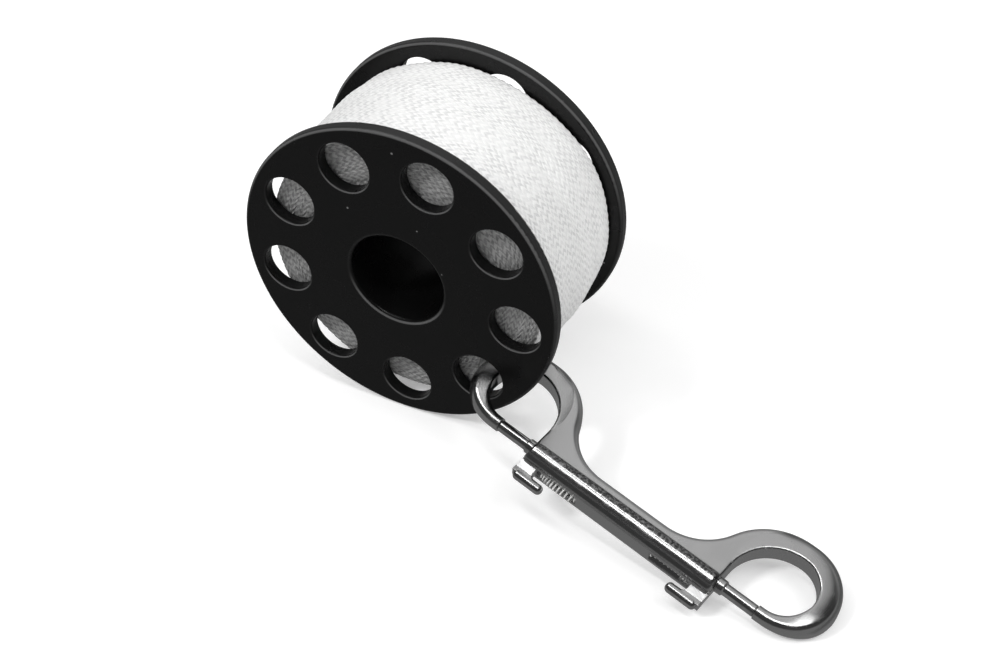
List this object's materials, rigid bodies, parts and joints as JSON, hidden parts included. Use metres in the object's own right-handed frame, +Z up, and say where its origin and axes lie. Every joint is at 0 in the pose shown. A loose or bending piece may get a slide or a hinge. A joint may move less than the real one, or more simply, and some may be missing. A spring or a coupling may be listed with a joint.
{
  "type": "finger spool",
  "caption": "Diver's finger spool of wound braided line between two drilled flanges, with a double-ended bolt snap clipped into one hole.",
  "frame": {"origin": "middle of the finger bore, on its axis and halfway across the spool", "axes": "+Y runs along the finger bore from the front flange to the rear one, +Z is up, +X is to the right seen from the front"},
  "size_m": [0.1646, 0.0776, 0.085],
  "materials": {
    "black_plastic": "black moulded plastic with a faint satin sheen",
    "line": "white braided nylon",
    "snap_metal": "polished cast metal",
    "spring_steel": "drawn steel wire"
  },
  "bodies": {
    "spool": {"front_flange": "black_plastic", "rear_flange": "black_plastic", "line_core": "line", "line_winding": "line"},
    "snap": {"snap_body": "snap_metal", "near_spring": "spring_steel", "far_spring": "spring_steel"},
    "near_latch": {"near_bolt": "snap_metal", "near_thumb_slide": "snap_metal"},
    "far_latch": {"far_bolt": "snap_metal", "far_thumb_slide": "snap_metal"}
  },
  "joints": [
    {"name": "snap_swing", "type": "hinge", "parent": "spool", "child": "snap", "pos_m": [0.03364, -0.02216, -0.02578], "axis": [0, 0, 1], "range_deg": [-12, 30]},
    {"name": "near_bolt_slide", "type": "slide", "parent": "snap", "child": "near_latch", "axis": [0.9578, -0.2431, -0.1532], "range_m": [0, 0.007], "stiffness_N_per_m": 300, "springref_m": -0.01, "deforming": ["near_spring"]},
    {"name": "far_bolt_slide", "type": "slide", "parent": "snap", "child": "far_latch", "axis": [-0.9578, 0.2431, 0.1532], "range_m": [0, 0.007], "stiffness_N_per_m": 300, "springref_m": -0.01, "deforming": ["far_spring"]}
  ]
}
